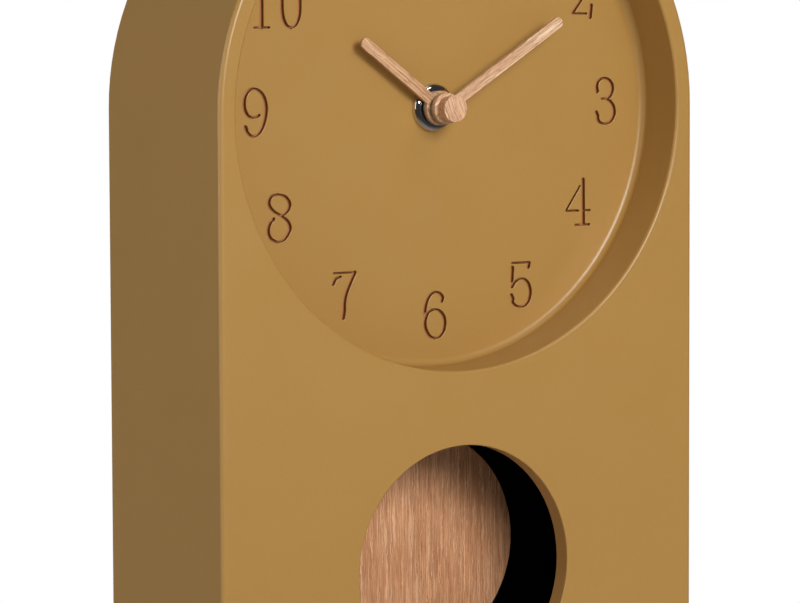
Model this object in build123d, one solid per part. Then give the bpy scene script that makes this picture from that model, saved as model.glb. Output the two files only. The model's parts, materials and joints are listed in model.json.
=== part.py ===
from build123d import *
import os
from math import cos, hypot, radians, sin, tan

# Desk pendulum clock: an arched moulded case with a sunk dial, wooden hands and a wooden pendulum disc.
# Frame: +Z up, +X to the right as the dial is read, +Y from the front into the case.
# The origin lies on the table under the middle of the case. Lengths in millimetres, angles in degrees.
# A depth is a distance from the front plane of the case, measured into the case.

# Case
case_width = 180.0
case_depth = 72.0
case_wall = 2.5
axis_height = 210.0
base_corner_round = 3.0
inner_corner_round = 1.0
front_edge_round = 1.5
back_edge_round = 0.8

# Sunk dial, concentric with the arch
front_border = 6.0
recess_depth = 18.6
recess_draft = 1.0
recess_wall = 2.2
dial_thickness = 2.5
recess_lip_round = 1.0
dial_corner_round = 1.2

# Pendulum window
window_radius = 40.0
window_height = 62.0
collar_depth = 6.1
collar_wall = 2.5
window_edge_round = 0.4

# Pads under the base
pad_radius = 6.0
pad_thickness = 1.5
pad_inset = 14.0

# Back cover, its opening and its screws
cover_thickness = 2.5
cover_clearance = 0.3
rebate_width = 1.2
cover_rim_width = 1.4
cover_rim_height = 4.0
opening_width = 74.0
opening_height = 104.0
opening_corner_round = 8.0
post_radius = 3.8
post_inset = 5.0
pilot_radius = 1.25
pilot_depth = 14.0
screw_play = 0.05
screw_length = 12.0
screw_head_radius = 2.8
screw_head_height = 1.6
screw_slot_width = 0.8
screw_slot_depth = 0.8
screw_hole_clearance = 0.25
lower_post_height = 8.0
middle_post_height = 118.0
upper_post_angle = 52.0

# Quartz pendulum movement
movement_width = 56.0
movement_height = 88.0
movement_thickness = 27.0
movement_above_axis = 30.0
movement_wall = 1.6
movement_corner_round = 4.0
front_shell_depth = 15.0
rib_clearance = 0.4
rib_width = 2.0
rib_height = 4.0
washer_radius = 9.0
washer_thickness = 1.0
bush_radius = 4.0
bush_hole_clearance = 0.15
bush_end_gap = 0.2
nut_radius = 7.75
nut_height = 2.4
nut_edge_round = 0.5
nut_thread_play = 0.05

# Fits
running_clearance = 0.05
press_clearance = 0.02
axial_play = 0.3

# Wheels: the motion work turns the hour pipe once for twelve turns of the minute arbor
motion_module = 0.5
cannon_teeth = 12
setting_teeth = 36
setting_pinion_teeth = 10
hour_teeth = 40
centre_teeth = 60
third_pinion_teeth = 8
third_teeth = 50
third_module = 0.25
tooth_root_share = 0.30
tooth_tip_share = 0.10
dedendum_share = 1.25
wheel_thickness = 1.2
wheel_gap = 0.6
setting_direction = -90.0
third_direction = 200.0
pipe_radius = 2.6
arbor_radius = 1.6
pivot_radius = 0.7
setting_arbor_radius = 1.0
boss_radius = 1.2
knob_radius = 6.5
knob_height = 3.5
knob_gap = 0.6
knob_flutes = 18
knob_flute_radius = 0.7
knob_edge_cut = 0.5

# Drive parts inside the movement
battery_radius = 7.1
battery_length = 49.2
battery_nub_radius = 2.75
battery_nub_height = 1.0
battery_clearance = 0.3
contact_thickness = 0.4
contact_width = 9.0
contact_dimple_radius = 2.5
partition_thickness = 1.2
stator_length = 22.0
stator_width = 9.0
stator_thickness = 0.8
stator_corner_round = 1.0
rotor_hole_radius = 2.2
coil_length = 14.0
coil_radius = 2.6
coil_flange = 0.9
stator_drop = 28.0
stator_offset = 13.5
board_width = 18.0
board_height = 16.0
board_thickness = 1.0
board_drop = 30.0
board_offset = 15.0
chip_radius = 3.0
chip_height = 1.2
chip_edge_round = 0.6
crystal_radius = 1.0
crystal_length = 6.0
standoff_height = 3.0
standoff_radius = 1.5
stator_stand_radius = 2.2
pivot_boss_radius = 1.4

# Pendulum
swing_limit = 10.0
swing_now = 4.45
pivot_pin_radius = 0.75
pin_boss_radius = 1.5
arm_hub_radius = 3.0
arm_width = 5.0
arm_thickness = 1.4
arm_reach = 29.0
slot_clearance = 0.8
peg_radius = 1.2
peg_head_radius = 2.2
peg_head_thickness = 0.6
magnet_radius = 4.0
magnet_thickness = 3.0
magnet_drop = 14.0
magnet_gap = 1.0
pulse_coil_radius = 7.0
pulse_coil_bore = 2.5
pulse_coil_thickness = 4.0
coil_stand_radius = 5.0
coil_margin = 1.4
bob_radius = 37.4
bob_thickness = 4.0
bob_depth = 42.0
bob_drop = 145.7
bob_edge_round = 0.4
rod_width = 6.0
rod_thickness = 0.8
rod_end_round = 2.0
rod_end_margin = 4.0
rod_below_bob_centre = 10.0
rod_play = 0.1
clip_width = 14.0
clip_height = 30.0
clip_wall = 0.8
clip_corner_round = 2.8

# Hands and cap
minute_angle = 58.1
hour_angle = 306.8
hand_width = 3.7
hand_thickness = 1.2
hand_edge_round = 0.25
hour_length = 37.1
hour_hub_radius = 5.6
hour_hand_depth = 13.2
minute_length = 52.6
minute_hub_radius = 5.0
minute_hand_depth = 9.4
collet_flange = 0.7
collet_wall = 0.8
collet_tube = 0.7
cap_radius = 4.4
cap_back_radius = 3.9
cap_depth = 4.6
cap_edge_round = 0.3
arbor_in_cap = 2.5

# Places worked out from the sizes above
front_y = -case_depth / 2
overlap = 0.5
recess_radius = case_width / 2 - front_border
dial_back = recess_depth + dial_thickness
movement_front = dial_back + washer_thickness
movement_split = movement_front + front_shell_depth
movement_back = movement_front + movement_thickness
movement_centre = axis_height + movement_above_axis - movement_height / 2
movement_inside = movement_front + movement_wall
lid_inside = movement_back - movement_wall
movement_bottom = axis_height + movement_above_axis - movement_height
cover_seat = case_depth - cover_thickness
cover_inset = case_wall - rebate_width
rim_inset = case_wall + cover_clearance

hour_wheel_near = movement_inside + wheel_gap
hour_wheel_far = hour_wheel_near + wheel_thickness
setting_wheel_near = hour_wheel_far + wheel_gap
setting_wheel_far = setting_wheel_near + wheel_thickness
centre_wheel_near = setting_wheel_far + 2 * wheel_gap
centre_wheel_far = centre_wheel_near + wheel_thickness
third_wheel_near = centre_wheel_far + wheel_gap
third_wheel_far = third_wheel_near + wheel_thickness

setting_distance = motion_module * (cannon_teeth + setting_teeth) / 2
hour_module = 2 * setting_distance / (hour_teeth + setting_pinion_teeth)
hour_tip = hour_module * (hour_teeth / 2 + 1)
third_distance = hour_tip + boss_radius + axial_play
train_module = 2 * third_distance / (centre_teeth + third_pinion_teeth)
setting_x = setting_distance * cos(radians(setting_direction))
setting_z = axis_height + setting_distance * sin(radians(setting_direction))
third_x = third_distance * cos(radians(third_direction))
third_z = axis_height + third_distance * sin(radians(third_direction))

battery_z = axis_height + movement_above_axis - movement_wall - battery_clearance - battery_radius
battery_depth = movement_inside + battery_clearance + battery_radius
partition_z = battery_z - battery_radius - battery_clearance - partition_thickness / 2
bay_half_width = movement_width / 2 - movement_wall

magnet_z = movement_bottom + movement_wall + coil_margin + pulse_coil_radius
pivot_z = magnet_z + magnet_drop
bob_z = axis_height - bob_drop
bob_back = bob_depth + bob_thickness
rod_near = bob_back + clip_wall
rod_far = rod_near + rod_thickness
arm_far = rod_near - rod_play
arm_near = arm_far - arm_thickness
magnet_near = arm_near - magnet_thickness
pulse_coil_near = magnet_near - magnet_gap - pulse_coil_thickness
peg_z = pivot_z - arm_reach
slot_run = pivot_z - movement_bottom
slot_half_width = slot_run * tan(radians(swing_limit)) + slot_clearance
slot_half_width += arm_width / 2 / cos(radians(swing_limit))

hour_hand_back = hour_hand_depth + hand_thickness
minute_hand_back = minute_hand_depth + hand_thickness
nut_front = recess_depth - nut_height
bush_front = nut_front + bush_end_gap
spigot_hour = pipe_radius + press_clearance + collet_wall
spigot_minute = arbor_radius + press_clearance + collet_wall


def facing(depth, x=0.0, z=axis_height):
    """Plane parallel to the dial at a depth; its normal points at the viewer, its Y axis points up."""
    return Plane(origin=(x, front_y + depth, z), x_dir=(1, 0, 0), z_dir=(0, -1, 0))


def slab(sketch, near, far, x=0.0, z=axis_height):
    """A flat outline given thickness between two depths, near and far."""
    return extrude(facing(far, x, z) * sketch, far - near)


def rod(radius, near, far, x=0.0, z=axis_height):
    """A round bar along the depth axis."""
    return slab(Circle(radius), near, far, x, z)


def turned(points, x=0.0, z=axis_height):
    """A closed outline of (radius, depth) points turned about the depth axis through x and z."""
    plane = Plane(origin=(x, front_y, z), x_dir=(1, 0, 0), z_dir=(0, 0, 1))
    outline = make_face(Polyline(*points, close=True))
    return revolve(plane * outline, Axis((x, front_y, z), (0, 1, 0)))


def rim(solid, radius, depth):
    """The round edges of a solid that have this radius and lie at this depth."""
    near_enough = 1e-3
    rings = solid.edges().filter_by(GeomType.CIRCLE)
    return [e for e in rings if abs(e.radius - radius) < near_enough
            and abs(e.arc_center.Y - front_y - depth) < near_enough]


def arch_outline(inset, corner):
    """The case outline seen from the front, drawn about the dial axis and set in from the outer face."""
    radius = case_width / 2 - inset
    foot = axis_height - pad_thickness - inset
    crown = ThreePointArc((radius, 0), (0, radius), (-radius, 0))
    sides = Polyline((-radius, 0), (-radius, -foot), (radius, -foot), (radius, 0))
    outline = make_face([crown, sides])
    return fillet(outline.vertices().group_by(Axis.Y)[0], corner)


def post_places():
    """Centres of the screw posts: two near the base, two at the middle, two on the arch."""
    side = case_width / 2 - post_inset
    base = pad_thickness + lower_post_height
    reach = radians(upper_post_angle)
    places = []
    for sign in (-1, 1):
        places.append((sign * side, base))
        places.append((sign * side, middle_post_height))
        places.append((sign * side * sin(reach), axis_height + side * cos(reach)))
    return places


def post_start(x, z):
    """A post stands on the dial's back where it lies behind the recess, and on the front wall elsewhere."""
    behind_recess = hypot(x, z - axis_height) < recess_radius + recess_wall + post_radius
    return dial_back - overlap if behind_recess else case_wall - overlap


def housing():
    """Moulded case: arch shell, dial recess, window collar, screw posts and ribs for the movement."""
    body = slab(arch_outline(0, base_corner_round), 0, case_depth)
    body = fillet(body.faces().sort_by(Axis.Y)[0].edges(), front_edge_round)
    body = fillet(body.faces().sort_by(Axis.Y)[-1].edges(), back_edge_round)
    body -= slab(arch_outline(case_wall, inner_corner_round), case_wall, case_depth + overlap)
    body -= slab(arch_outline(cover_inset, inner_corner_round), cover_seat, case_depth + overlap)
    body += rod(recess_radius + recess_wall, case_wall - overlap, dial_back)
    body += rod(window_radius + collar_wall, case_wall - overlap, collar_depth, z=window_height)
    for x, z in post_places():
        body += rod(post_radius, post_start(x, z), cover_seat, x, z)
    rib_outline = Rectangle(movement_width + 2 * (rib_clearance + rib_width),
                            movement_height + 2 * (rib_clearance + rib_width))
    rib_outline -= Rectangle(movement_width + 2 * rib_clearance, movement_height + 2 * rib_clearance)
    body += slab(rib_outline, dial_back - overlap, movement_front + rib_height, z=movement_centre)

    floor_radius = recess_radius - recess_depth * tan(radians(recess_draft))
    mouth_radius = recess_radius + overlap * tan(radians(recess_draft))
    hollow = turned([(0, -overlap), (mouth_radius, -overlap),
                     (floor_radius, recess_depth), (0, recess_depth)])
    hollow = fillet(rim(hollow, floor_radius, recess_depth), dial_corner_round)
    body -= hollow
    body = fillet(rim(body, recess_radius, 0), recess_lip_round)
    body -= rod(window_radius, -overlap, collar_depth + overlap, z=window_height)
    body = fillet(rim(body, window_radius, 0), window_edge_round)
    body -= rod(bush_radius + bush_hole_clearance, recess_depth - overlap, dial_back + overlap)
    for x, z in post_places():
        body -= rod(pilot_radius, cover_seat - pilot_depth, cover_seat + overlap, x, z)
    return body


def base_pads():
    """Four soft pads under the base."""
    across = case_width / 2 - pad_inset
    along = case_depth / 2 - pad_inset
    pad = Cylinder(pad_radius, pad_thickness, align=(Align.CENTER, Align.CENTER, Align.MIN))
    return [Pos(i * across, j * along, 0) * pad for i in (-1, 1) for j in (-1, 1)]


def screw_outline(radius, head_radius, length):
    """Half section of a countersunk screw or of its hole, from the cover's outer face inwards."""
    face = case_depth
    return [(0, face), (head_radius, face), (radius, face - screw_head_height), (radius, face - length),
            (0, face - length)]


def back_cover():
    """Panel that closes the case from behind, with a locating rim and an opening to reach the movement."""
    plate = slab(arch_outline(cover_inset + cover_clearance, inner_corner_round), cover_seat, case_depth)
    lip = arch_outline(rim_inset, inner_corner_round)
    lip -= arch_outline(rim_inset + cover_rim_width, inner_corner_round)
    lip = slab(lip, cover_seat - cover_rim_height, cover_seat + overlap)
    for x, z in post_places():
        lip -= rod(post_radius + cover_clearance, cover_seat - cover_rim_height - overlap, cover_seat, x, z)
    plate += lip
    opening = RectangleRounded(opening_width, opening_height, opening_corner_round)
    plate -= slab(opening, cover_seat - overlap, case_depth + overlap, z=movement_centre)
    hole = screw_outline(pilot_radius + screw_hole_clearance, screw_head_radius + screw_hole_clearance,
                         cover_thickness + overlap)
    for x, z in post_places():
        plate -= turned(hole, x, z)
    return plate


def cover_screws():
    """Countersunk screws, one in each post, with a cross slot in the head."""
    screws = []
    slot = Rectangle(2 * screw_head_radius, screw_slot_width)
    slot += Rectangle(screw_slot_width, 2 * screw_head_radius)
    slot &= Circle(screw_head_radius / 2)
    for x, z in post_places():
        screw = turned(screw_outline(pilot_radius - screw_play, screw_head_radius, screw_length), x, z)
        screw -= slab(slot, case_depth - screw_slot_depth, case_depth + overlap, x, z)
        screws.append(screw)
    return screws


def gear(teeth, module, near, far, x, z, turn):
    """Wheel with straight-flanked teeth; one tooth is centred on the direction named turn."""
    pitch = 360.0 / teeth
    tip = module * (teeth / 2 + 1)
    root = module * (teeth / 2 - dedendum_share)
    corners = ((root, -tooth_root_share), (tip, -tooth_tip_share),
               (tip, tooth_tip_share), (root, tooth_root_share))
    points = []
    for i in range(teeth):
        for radius, share in corners:
            angle = radians(turn + pitch * (i + share))
            points.append((radius * cos(angle), radius * sin(angle)))
    return slab(make_face(Polyline(*points, close=True)), near, far, x, z)


def gap_towards(direction, teeth):
    """The turn of a wheel that has a gap, not a tooth, in this direction."""
    return direction + 180.0 / teeth


def movement_box(near, far, inset=0.0):
    """Rounded block with the outline of the movement, set in by a wall."""
    outline = RectangleRounded(movement_width - 2 * inset, movement_height - 2 * inset,
                               movement_corner_round - inset)
    return slab(outline, near, far, z=movement_centre)


def partition(near, far):
    """Wall between the battery bay and the wheels."""
    return slab(Rectangle(2 * bay_half_width + overlap, partition_thickness), near, far, z=partition_z)


def movement_case():
    """Front half of the movement with the threaded bush, the bearing bosses and the stands inside."""
    shell = movement_box(movement_front, movement_split)
    shell -= movement_box(movement_inside, movement_split + overlap, movement_wall)
    shell += partition(movement_inside - overlap, movement_split)
    shell += rod(bush_radius, bush_front, movement_inside)
    start = movement_inside - overlap
    setting_seat = hour_wheel_near - axial_play
    third_seat = centre_wheel_near - axial_play
    arm_seat = magnet_near - axial_play
    shell += rod(pivot_boss_radius, start, setting_seat, setting_x, setting_z)
    shell += rod(boss_radius, start, third_seat, third_x, third_z)
    shell += rod(pin_boss_radius, start, arm_seat, 0, pivot_z)
    for side in (-1, 1):
        x = board_offset + side * (board_width / 2 - standoff_radius)
        shell += rod(standoff_radius, start, movement_inside + standoff_height, x, axis_height - board_drop)
    shell += rod(stator_stand_radius, start, movement_inside + standoff_height,
                 -stator_offset, axis_height - stator_drop)
    shell += rod(pulse_coil_bore - running_clearance, start, pulse_coil_near + pulse_coil_thickness / 2,
                 0, magnet_z)
    shell += rod(coil_stand_radius, start, pulse_coil_near, 0, magnet_z)

    shell -= rod(pipe_radius + running_clearance, bush_front - overlap, movement_inside + overlap)
    shell -= rod(pivot_radius + running_clearance, movement_inside, setting_seat + overlap,
                 setting_x, setting_z)
    shell -= rod(pivot_radius + running_clearance, movement_inside, third_seat + overlap, third_x, third_z)
    shell -= rod(pivot_pin_radius + press_clearance, movement_inside, arm_seat + overlap, 0, pivot_z)
    return shell


def movement_lid():
    """Rear half of the movement, open over the battery and slotted below for the pendulum arm."""
    shell = movement_box(movement_split, movement_back)
    shell -= movement_box(movement_split - overlap, lid_inside, movement_wall)
    shell += partition(movement_split, lid_inside + overlap)
    arbor_seat = third_wheel_far + axial_play
    arm_seat = arm_far + axial_play
    shell += rod(boss_radius, arbor_seat, lid_inside + overlap)
    shell += rod(boss_radius, arbor_seat, lid_inside + overlap, third_x, third_z)
    shell += rod(pin_boss_radius, arm_seat, lid_inside + overlap, 0, pivot_z)

    bay = Rectangle(2 * bay_half_width, 2 * (battery_radius + battery_clearance))
    shell -= slab(bay, movement_split - overlap, movement_back + overlap, z=battery_z)
    slot = Rectangle(2 * slot_half_width, 2 * movement_wall + overlap)
    shell -= slab(slot, arm_near - slot_clearance, arm_far + slot_clearance, z=movement_bottom)
    shell -= rod(pivot_radius + running_clearance, arbor_seat - overlap, lid_inside)
    shell -= rod(pivot_radius + running_clearance, arbor_seat - overlap, lid_inside, third_x, third_z)
    shell -= rod(pivot_pin_radius + press_clearance, arm_seat - overlap, lid_inside, 0, pivot_z)
    shell -= rod(setting_arbor_radius + running_clearance, lid_inside - overlap, movement_back + overlap,
                 setting_x, setting_z)
    return shell


def sealing_washer():
    """Soft washer between the dial's back and the movement."""
    ring = Circle(washer_radius) - Circle(bush_radius + bush_hole_clearance)
    return slab(ring, dial_back, movement_front)


def dress_nut():
    """Bright round nut that clamps the movement to the dial."""
    body = rod(nut_radius, nut_front, recess_depth)
    body = fillet(rim(body, nut_radius, nut_front), nut_edge_round)
    return body - rod(bush_radius + nut_thread_play, nut_front - overlap, recess_depth + overlap)


def minute_arbor():
    """Arbor of the minute hand with the cannon pinion and the centre wheel."""
    arbor = rod(arbor_radius, minute_hand_depth - arbor_in_cap, centre_wheel_far)
    arbor += gear(cannon_teeth, motion_module, hour_wheel_far + axial_play, centre_wheel_near,
                  0, axis_height, setting_direction)
    arbor += gear(centre_teeth, train_module, centre_wheel_near, centre_wheel_far,
                  0, axis_height, third_direction)
    return arbor + rod(pivot_radius, centre_wheel_far - overlap, lid_inside - axial_play)


def hour_wheel():
    """Hour wheel and the pipe that carries the hour hand through the bush."""
    wheel = gear(hour_teeth, hour_module, hour_wheel_near, hour_wheel_far, 0, axis_height,
                 gap_towards(setting_direction, hour_teeth))
    wheel += rod(pipe_radius, hour_hand_depth + axial_play, hour_wheel_far)
    return wheel - rod(arbor_radius + running_clearance, hour_hand_depth - overlap, hour_wheel_far + overlap)


def setting_wheel():
    """Wheel between the cannon pinion and the hour wheel; its arbor runs out through the lid to the knob."""
    back = setting_direction + 180.0
    wheel = gear(setting_teeth, motion_module, setting_wheel_near, setting_wheel_far, setting_x, setting_z,
                 gap_towards(back, setting_teeth))
    wheel += gear(setting_pinion_teeth, hour_module, hour_wheel_near, setting_wheel_near,
                  setting_x, setting_z, back)
    wheel += rod(pivot_radius, movement_inside + axial_play, hour_wheel_near + overlap, setting_x, setting_z)
    return wheel + rod(setting_arbor_radius, setting_wheel_far - overlap,
                       movement_back + knob_gap + knob_height / 2, setting_x, setting_z)


def setting_knob():
    """Fluted knob at the back that sets the hands."""
    near = movement_back + knob_gap
    far = near + knob_height
    knob = rod(knob_radius, near, far, setting_x, setting_z)
    knob = chamfer(rim(knob, knob_radius, far), knob_edge_cut)
    for i in range(knob_flutes):
        angle = radians(360.0 / knob_flutes * i)
        knob -= rod(knob_flute_radius, near - overlap, far + overlap,
                    setting_x + knob_radius * cos(angle), setting_z + knob_radius * sin(angle))
    return knob - rod(setting_arbor_radius + press_clearance, near - overlap,
                      near + knob_height / 2 + axial_play, setting_x, setting_z)


def third_wheel():
    """Wheel of the going train that drives the centre wheel."""
    wheel = gear(third_pinion_teeth, train_module, centre_wheel_near, third_wheel_near, third_x, third_z,
                 gap_towards(third_direction + 180.0, third_pinion_teeth))
    wheel += gear(third_teeth, third_module, third_wheel_near, third_wheel_far,
                  third_x, third_z, third_direction)
    return wheel + rod(pivot_radius, movement_inside + axial_play, lid_inside - axial_play, third_x, third_z)


def battery():
    """Round cell lying across the movement, with its raised end."""
    start = -battery_length / 2
    axis = Plane(origin=(start, front_y + battery_depth, battery_z), x_dir=(0, 1, 0), z_dir=(1, 0, 0))
    cell = extrude(axis * Circle(battery_radius), battery_length)
    return cell + extrude(axis * Circle(battery_nub_radius), battery_length + battery_nub_height)


def battery_contacts():
    """Spring plate at the flat end of the cell and plain plate at its raised end."""
    depth_y = front_y + battery_depth
    plate = Box(contact_thickness, contact_width, contact_width)
    flat_end = Pos(-bay_half_width + contact_thickness / 2, depth_y, battery_z) * plate
    raised_end = Pos(bay_half_width - contact_thickness / 2, depth_y, battery_z) * plate
    inner = -bay_half_width + contact_thickness
    reach = -battery_length / 2 - inner
    cone = Cone(contact_dimple_radius, contact_dimple_radius / 2, reach,
                align=(Align.CENTER, Align.CENTER, Align.MIN))
    spring = Plane(origin=(inner, depth_y, battery_z), x_dir=(0, 1, 0), z_dir=(1, 0, 0)) * cone
    return [flat_end + spring, raised_end]


def stator():
    """Plate of the step motor with its rotor hole, seated on a stand."""
    near = movement_inside + standoff_height
    plate = slab(RectangleRounded(stator_length, stator_width, stator_corner_round),
                 near, near + stator_thickness, -stator_offset, axis_height - stator_drop)
    hole_x = -stator_offset + stator_length / 2 - 2 * rotor_hole_radius
    return plate - rod(rotor_hole_radius, near - overlap, near + stator_thickness + overlap, hole_x,
                       axis_height - stator_drop)


def drive_coil():
    """Winding of the step motor between two flanges, lying on the stator."""
    near = movement_inside + standoff_height + stator_thickness
    side = coil_radius + coil_flange
    z = axis_height - stator_drop
    start = -stator_offset - stator_length / 2
    axis = Plane(origin=(start, front_y + near + side, z), x_dir=(0, 1, 0), z_dir=(1, 0, 0))
    coil = extrude(axis * Circle(coil_radius), coil_length)
    flange = Rectangle(2 * side, 2 * side)
    coil += extrude(axis * flange, coil_flange)
    return coil + extrude(axis.offset(coil_length - coil_flange) * flange, coil_flange)


def circuit_board():
    """Board of the movement with the sealed chip and the crystal can."""
    near = movement_inside + standoff_height
    far = near + board_thickness
    z = axis_height - board_drop
    board = slab(Rectangle(board_width, board_height), near, far, board_offset, z)
    chip = rod(chip_radius, far - overlap, far + chip_height, board_offset, z + board_height / 4)
    chip = fillet(rim(chip, chip_radius, far + chip_height), chip_edge_round)
    start = (board_offset - crystal_length / 2, front_y + far + crystal_radius / 2, z - board_height / 4)
    axis = Plane(origin=start, x_dir=(0, 1, 0), z_dir=(1, 0, 0))
    return board + chip + extrude(axis * Circle(crystal_radius), crystal_length)


def swung(piece):
    """A piece of the pendulum, modelled hanging straight, turned about the pivot to where it swings now."""
    return piece.rotate(Axis((0, 0, pivot_z), (0, 1, 0)), -swing_now)


def pulse_coil():
    """Flat coil that keeps the pendulum swinging."""
    ring = Circle(pulse_coil_radius) - Circle(pulse_coil_bore)
    return slab(ring, pulse_coil_near, pulse_coil_near + pulse_coil_thickness, z=magnet_z)


def pivot_pin():
    """Pin that the pendulum arm swings on."""
    return rod(pivot_pin_radius, movement_inside, lid_inside, z=pivot_z)


def pendulum_arm():
    """Lever that hangs on the pin, carries the magnet and ends in a headed peg for the rod."""
    blade = Pos(0, -arm_reach / 2) * Rectangle(arm_width, arm_reach)
    blade += Pos(0, -arm_reach) * Circle(arm_width / 2)
    blade += Circle(arm_hub_radius)
    arm = slab(blade, arm_near, arm_far, z=pivot_z)
    arm += rod(arm_hub_radius, magnet_near, arm_far, z=pivot_z)
    peg_end = rod_far + rod_play
    arm += rod(peg_radius, arm_far - overlap, peg_end + overlap, z=peg_z)
    arm += rod(peg_head_radius, peg_end, peg_end + peg_head_thickness, z=peg_z)
    arm -= rod(pivot_pin_radius + running_clearance, magnet_near - overlap, arm_far + overlap, z=pivot_z)
    return swung(arm)


def arm_magnet():
    """Disc magnet on the arm, facing the coil."""
    return swung(rod(magnet_radius, magnet_near, arm_near, z=magnet_z))


def pendulum_rod():
    """Flat strip with an eye at its top that hangs on the peg."""
    top = peg_z + rod_end_margin
    bottom = bob_z - rod_below_bob_centre
    strip = slab(RectangleRounded(rod_width, top - bottom, rod_end_round), rod_near, rod_far,
                 z=(top + bottom) / 2)
    return swung(strip - rod(peg_radius + running_clearance, rod_near - overlap, rod_far + overlap, z=peg_z))


def pendulum_bob():
    """Wooden disc that shows in the window."""
    disc = rod(bob_radius, bob_depth, bob_back, z=bob_z)
    disc = fillet(rim(disc, bob_radius, bob_depth), bob_edge_round)
    return swung(fillet(rim(disc, bob_radius, bob_back), bob_edge_round))


def bob_clip():
    """Channel on the back of the disc that grips the strip and lets the disc be set up or down."""
    far = rod_far + rod_play + clip_wall
    clip = slab(RectangleRounded(clip_width, clip_height, clip_corner_round), bob_back, far, z=bob_z)
    channel = Rectangle(rod_width + 2 * rod_play, clip_height + overlap)
    return swung(clip - slab(channel, rod_near - rod_play, rod_far + rod_play, z=bob_z))


def hand(length, hub_radius, bore, near, angle):
    """Wooden hand: a parallel bar with a round tip and a round hub, turned clockwise from twelve."""
    straight = length - hand_width / 2
    outline = Pos(0, straight / 2) * Rectangle(hand_width, straight)
    outline += Pos(0, straight) * Circle(hand_width / 2)
    outline += Circle(hub_radius)
    solid = slab(Rot(0, 0, -angle) * outline, near, near + hand_thickness)
    solid = fillet(solid.faces().sort_by(Axis.Y)[0].edges(), hand_edge_round)
    return solid - rod(bore, near - overlap, near + hand_thickness + overlap)


def collet(hub_radius, spigot, bore, near, far):
    """Metal collet pressed into a hand: a flange behind the wood, a spigot through it and a short tube."""
    body = rod(spigot, near, far + collet_tube)
    body += rod(hub_radius, far - collet_flange, far)
    return body - rod(bore, near - overlap, far + collet_tube + overlap)


def hour_hand():
    return hand(hour_length, hour_hub_radius, spigot_hour + press_clearance, hour_hand_depth, hour_angle)


def hour_collet():
    bore = pipe_radius + press_clearance
    return collet(hour_hub_radius, spigot_hour, bore, hour_hand_depth, hour_hand_back + collet_flange)


def minute_hand():
    return hand(minute_length, minute_hub_radius, spigot_minute + press_clearance,
                minute_hand_depth, minute_angle)


def minute_collet():
    bore = arbor_radius + press_clearance
    return collet(minute_hub_radius, spigot_minute, bore, minute_hand_depth, minute_hand_back + collet_flange)


def hand_cap():
    """Wooden cap pushed on the end of the minute arbor, a little narrower where it meets the hand."""
    cap = turned([(0, cap_depth), (cap_radius, cap_depth),
                  (cap_back_radius, minute_hand_depth), (0, minute_hand_depth)])
    cap = fillet(rim(cap, cap_radius, cap_depth), cap_edge_round)
    return cap - rod(arbor_radius + press_clearance, minute_hand_depth - arbor_in_cap,
                     minute_hand_depth + overlap)


pieces = [housing, base_pads, back_cover, cover_screws, movement_case, movement_lid, sealing_washer,
          dress_nut, minute_arbor, hour_wheel, setting_wheel, setting_knob, third_wheel, battery,
          battery_contacts, stator, drive_coil, circuit_board, pulse_coil, pivot_pin, pendulum_arm,
          arm_magnet, pendulum_rod, pendulum_bob, bob_clip, hour_hand, hour_collet, minute_hand,
          minute_collet, hand_cap]

os.makedirs("parts", exist_ok=True)
for piece in pieces:
    shape = piece()
    if isinstance(shape, list):
        shape = Compound(shape)
    export_step(shape, f"parts/{piece.__name__}.step")
    print(piece.__name__, round(shape.volume, 1))
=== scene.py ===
# %% [markdown]
# A desk clock with a pendulum: an arched, lacquered case with a sunk dial, wooden hands and a wooden disc
# that swings behind a round window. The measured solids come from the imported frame. This lesson gives them
# their engraved numerals and their finishes, and sets up the light and the camera.

# %% Load the measured solids
import json

import bmesh
import bpy
import numpy as np
from mathutils import Matrix, Vector

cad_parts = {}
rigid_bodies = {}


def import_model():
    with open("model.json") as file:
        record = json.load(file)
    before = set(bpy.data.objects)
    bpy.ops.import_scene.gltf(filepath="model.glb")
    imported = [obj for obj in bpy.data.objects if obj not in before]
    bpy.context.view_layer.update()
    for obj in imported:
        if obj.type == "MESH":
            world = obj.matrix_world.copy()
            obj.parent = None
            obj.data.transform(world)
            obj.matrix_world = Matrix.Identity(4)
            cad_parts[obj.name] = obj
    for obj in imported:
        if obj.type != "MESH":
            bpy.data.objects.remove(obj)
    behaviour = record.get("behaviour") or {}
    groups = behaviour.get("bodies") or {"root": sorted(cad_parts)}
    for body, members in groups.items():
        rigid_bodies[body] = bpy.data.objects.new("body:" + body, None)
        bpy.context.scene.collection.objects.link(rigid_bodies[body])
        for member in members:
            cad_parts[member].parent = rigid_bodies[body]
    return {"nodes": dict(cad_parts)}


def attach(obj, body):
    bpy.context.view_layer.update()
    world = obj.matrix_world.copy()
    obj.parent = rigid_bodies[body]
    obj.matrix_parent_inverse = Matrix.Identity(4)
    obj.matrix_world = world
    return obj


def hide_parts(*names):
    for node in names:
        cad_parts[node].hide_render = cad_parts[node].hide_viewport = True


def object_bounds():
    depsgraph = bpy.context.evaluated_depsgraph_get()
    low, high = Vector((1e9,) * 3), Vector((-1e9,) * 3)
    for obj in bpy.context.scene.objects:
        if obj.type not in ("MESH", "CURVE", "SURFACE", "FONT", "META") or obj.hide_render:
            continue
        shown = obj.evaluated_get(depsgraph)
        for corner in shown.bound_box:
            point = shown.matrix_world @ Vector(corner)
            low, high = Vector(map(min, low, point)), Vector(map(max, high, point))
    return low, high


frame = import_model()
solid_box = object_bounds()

nodes = frame["nodes"]
MM = 0.001
DIAL_HEIGHT, WINDOW_HEIGHT = 210.0, 62.0
print("solids:", len(nodes), "box:", [round(v, 4) for corner in solid_box for v in corner])

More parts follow.
